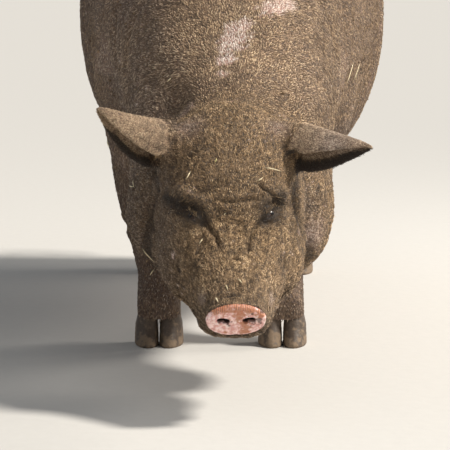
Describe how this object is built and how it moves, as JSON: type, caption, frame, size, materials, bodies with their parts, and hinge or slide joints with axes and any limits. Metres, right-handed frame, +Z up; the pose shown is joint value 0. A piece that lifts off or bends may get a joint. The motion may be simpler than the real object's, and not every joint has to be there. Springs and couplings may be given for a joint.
{
  "type": "domestic pig",
  "caption": "Adult domestic pig standing with its head lowered to drink: broad body, cupped ears, snout disc, cloven feet and a curled tail.",
  "frame": {"origin": "middle of the bounding box's underside, on the ground between the feet", "axes": "+Z up; the pig looks along -Y and its tail is at +Y; its own left is at +X"},
  "size_m": [0.6004, 1.9086, 0.8839],
  "materials": {
    "hide": "muddy bristled skin",
    "ear": "muddy skin with short hair",
    "snout": "bare moist skin",
    "horn": "worn horn",
    "eye": "wet gloss",
    "tail": "skin with hair at the tip"
  },
  "bodies": {
    "root": {"head": "hide", "neck": "hide", "chest": "hide", "belly": "hide", "rump": "hide", "foreleg_left_upper": "hide", "foreleg_left_lower": "hide", "claw_fore_left_outer": "horn", "dewclaw_fore_left_outer": "horn", "claw_fore_left_inner": "horn", "dewclaw_fore_left_inner": "horn", "foreleg_right_upper": "hide", "foreleg_right_lower": "hide", "claw_fore_right_outer": "horn", "dewclaw_fore_right_outer": "horn", "claw_fore_right_inner": "horn", "dewclaw_fore_right_inner": "horn", "hindleg_left_upper": "hide", "hindleg_left_lower": "hide", "claw_hind_left_outer": "horn", "dewclaw_hind_left_outer": "horn", "claw_hind_left_inner": "horn", "dewclaw_hind_left_inner": "horn", "hindleg_right_upper": "hide", "hindleg_right_lower": "hide", "claw_hind_right_outer": "horn", "dewclaw_hind_right_outer": "horn", "claw_hind_right_inner": "horn", "dewclaw_hind_right_inner": "horn", "tail_base": "tail", "tail_curl": "tail", "tail_tip": "tail", "ear_left": "ear", "eye_left": "eye", "ear_right": "ear", "eye_right": "eye", "snout_disc": "snout"}
  },
  "joints": []
}
